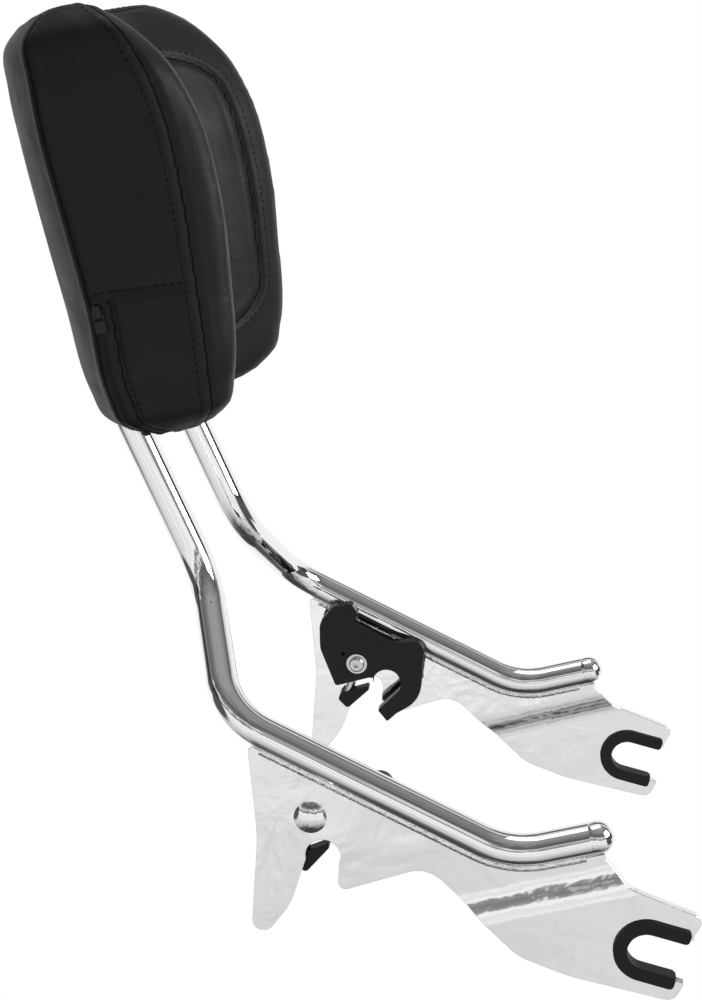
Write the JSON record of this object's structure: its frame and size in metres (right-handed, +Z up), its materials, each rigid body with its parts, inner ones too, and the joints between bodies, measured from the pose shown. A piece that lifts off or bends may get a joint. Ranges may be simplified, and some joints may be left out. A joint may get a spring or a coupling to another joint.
{
  "type": "motorcycle sissy bar backrest",
  "caption": "Quick-release passenger backrest: bent chrome tube on two side plates with open docking slots and rotary latches, and a padded wrap-round back pad.",
  "frame": {"origin": "middle of the front docking axis, half way between the two front slots", "axes": "+X forward on the motorcycle, +Y to its left, +Z up, with the backrest in its installed attitude"},
  "size_m": [0.4913, 0.3264, 0.6493],
  "materials": {
    "polished_chrome": "mirror polished",
    "black_rubber": "matt",
    "black_paint": "satin",
    "steel": "bright plated",
    "black_vinyl": "fine grained satin",
    "zip_tape": "woven",
    "foam": "open cell",
    "plywood": "sanded",
    "zip_metal": "satin"
  },
  "bodies": {
    "frame": {"sissy_bar_tube": "polished_chrome", "tube_end_cap_right": "polished_chrome", "side_plate_right": "polished_chrome", "weld_bead_right": "polished_chrome", "slot_liner_right": "black_rubber", "pivot_post_right": "polished_chrome", "pivot_screw_right": "steel", "pivot_washer_right": "steel", "friction_washer_right": "steel", "tube_end_cap_left": "polished_chrome", "side_plate_left": "polished_chrome", "weld_bead_left": "polished_chrome", "slot_liner_left": "black_rubber", "pivot_post_left": "polished_chrome", "pivot_screw_left": "steel", "pivot_washer_left": "steel", "friction_washer_left": "steel", "cover_inset_panel": "black_vinyl", "cover_front_ring": "black_vinyl", "cover_back_panel": "black_vinyl", "cover_gusset_upper": "black_vinyl", "cover_gusset_lower": "black_vinyl", "zipper_tape": "zip_tape", "pad_foam": "foam", "backing_board": "plywood", "pad_strap_lower": "steel", "pad_strap_upper": "steel", "strap_screws": "steel"},
    "latch_right": {"latch_hook_right": "black_paint", "bumper_stud_right": "steel", "bumper_pad_right": "black_rubber"},
    "latch_left": {"latch_hook_left": "black_paint", "bumper_stud_left": "steel", "bumper_pad_left": "black_rubber"},
    "zip_slider": {"zipper_slider": "zip_metal"},
    "zip_pull": {"zipper_pull": "zip_metal"}
  },
  "joints": [
    {"name": "latch_pivot_right", "type": "hinge", "parent": "frame", "child": "latch_right", "pos_m": [-0.228, -0.14, 0.0825], "axis": [0, 1, 0], "range_deg": [0, 44]},
    {"name": "latch_pivot_left", "type": "hinge", "parent": "frame", "child": "latch_left", "pos_m": [-0.228, 0.14, 0.0825], "axis": [0, 1, 0], "range_deg": [0, 38]},
    {"name": "zip_travel", "type": "slide", "parent": "frame", "child": "zip_slider", "axis": [0.2079, 0, -0.9781], "range_m": [0, 0.05]},
    {"name": "zip_pull_swing", "type": "hinge", "parent": "zip_slider", "child": "zip_pull", "pos_m": [-0.37064, -0.11983, 0.41747], "axis": [-0.9781, 0, -0.2079], "range_deg": [0, 120]}
  ]
}
